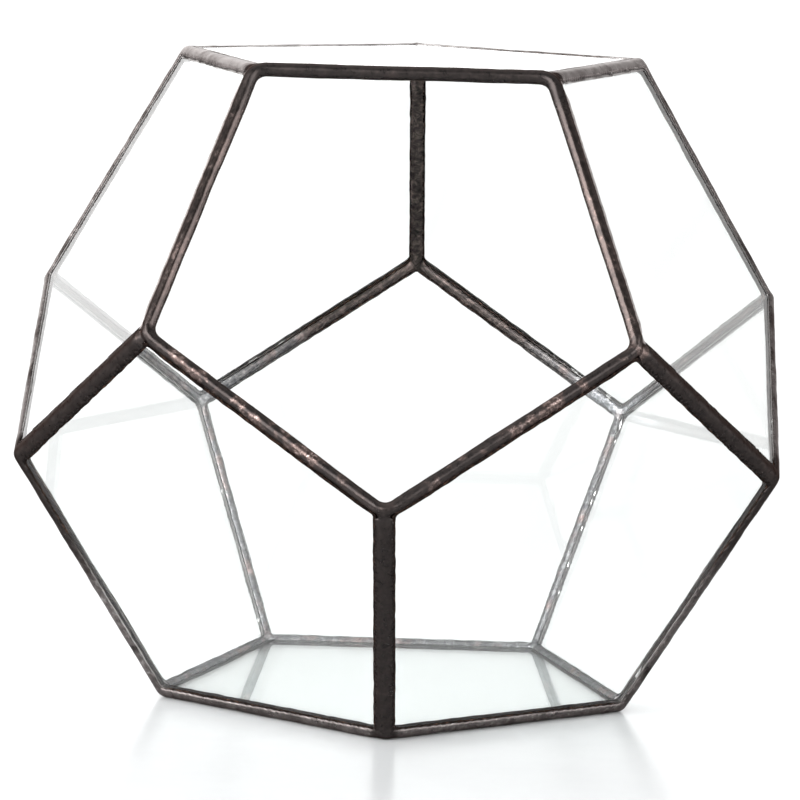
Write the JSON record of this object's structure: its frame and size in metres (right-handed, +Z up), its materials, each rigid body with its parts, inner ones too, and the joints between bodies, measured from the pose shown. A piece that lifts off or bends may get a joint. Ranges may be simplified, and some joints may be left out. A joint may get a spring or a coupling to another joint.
{
  "type": "geometric glass terrarium",
  "caption": "Empty dodecahedral glass terrarium of pentagonal panes in dark soldered copper foil, open at its upper front face, standing on its base pane's seams.",
  "frame": {"origin": "on the table, under the middle of the body", "axes": "+Z up, -Y towards the open mouth, +X to the right of someone who faces the mouth"},
  "size_m": [0.1756, 0.1844, 0.15],
  "materials": {
    "clear_glass": "polished",
    "copper_foil": "satin",
    "solder": "satin",
    "tinned_wire": "satin"
  },
  "bodies": {
    "root": {"foil_base": "copper_foil", "foil_lower_back": "copper_foil", "foil_lower_front_left": "copper_foil", "foil_lower_front_right": "copper_foil", "foil_lower_left": "copper_foil", "foil_lower_right": "copper_foil", "foil_top": "copper_foil", "foil_upper_back_left": "copper_foil", "foil_upper_back_right": "copper_foil", "foil_upper_left": "copper_foil", "foil_upper_right": "copper_foil", "mouth_wire": "tinned_wire", "pane_base": "clear_glass", "pane_lower_back": "clear_glass", "pane_lower_front_left": "clear_glass", "pane_lower_front_right": "clear_glass", "pane_lower_left": "clear_glass", "pane_lower_right": "clear_glass", "pane_top": "clear_glass", "pane_upper_back_left": "clear_glass", "pane_upper_back_right": "clear_glass", "pane_upper_left": "clear_glass", "pane_upper_right": "clear_glass", "rim_lower_front_left": "solder", "rim_lower_front_right": "solder", "rim_top": "solder", "rim_upper_left": "solder", "rim_upper_right": "solder", "seam_base_lower_back": "solder", "seam_base_lower_front_left": "solder", "seam_base_lower_front_right": "solder", "seam_base_lower_left": "solder", "seam_base_lower_right": "solder", "seam_lower_back_lower_left": "solder", "seam_lower_back_upper_back_left": "solder", "seam_lower_back_upper_back_right": "solder", "seam_lower_front_left_upper_left": "solder", "seam_lower_front_right_lower_front_left": "solder", "seam_lower_front_right_lower_right": "solder", "seam_lower_front_right_upper_right": "solder", "seam_lower_left_lower_front_left": "solder", "seam_lower_left_upper_back_left": "solder", "seam_lower_left_upper_left": "solder", "seam_lower_right_lower_back": "solder", "seam_lower_right_upper_back_right": "solder", "seam_lower_right_upper_right": "solder", "seam_top_upper_back_left": "solder", "seam_top_upper_back_right": "solder", "seam_top_upper_left": "solder", "seam_top_upper_right": "solder", "seam_upper_back_left_upper_back_right": "solder", "seam_upper_back_left_upper_left": "solder", "seam_upper_right_upper_back_right": "solder"}
  },
  "joints": []
}
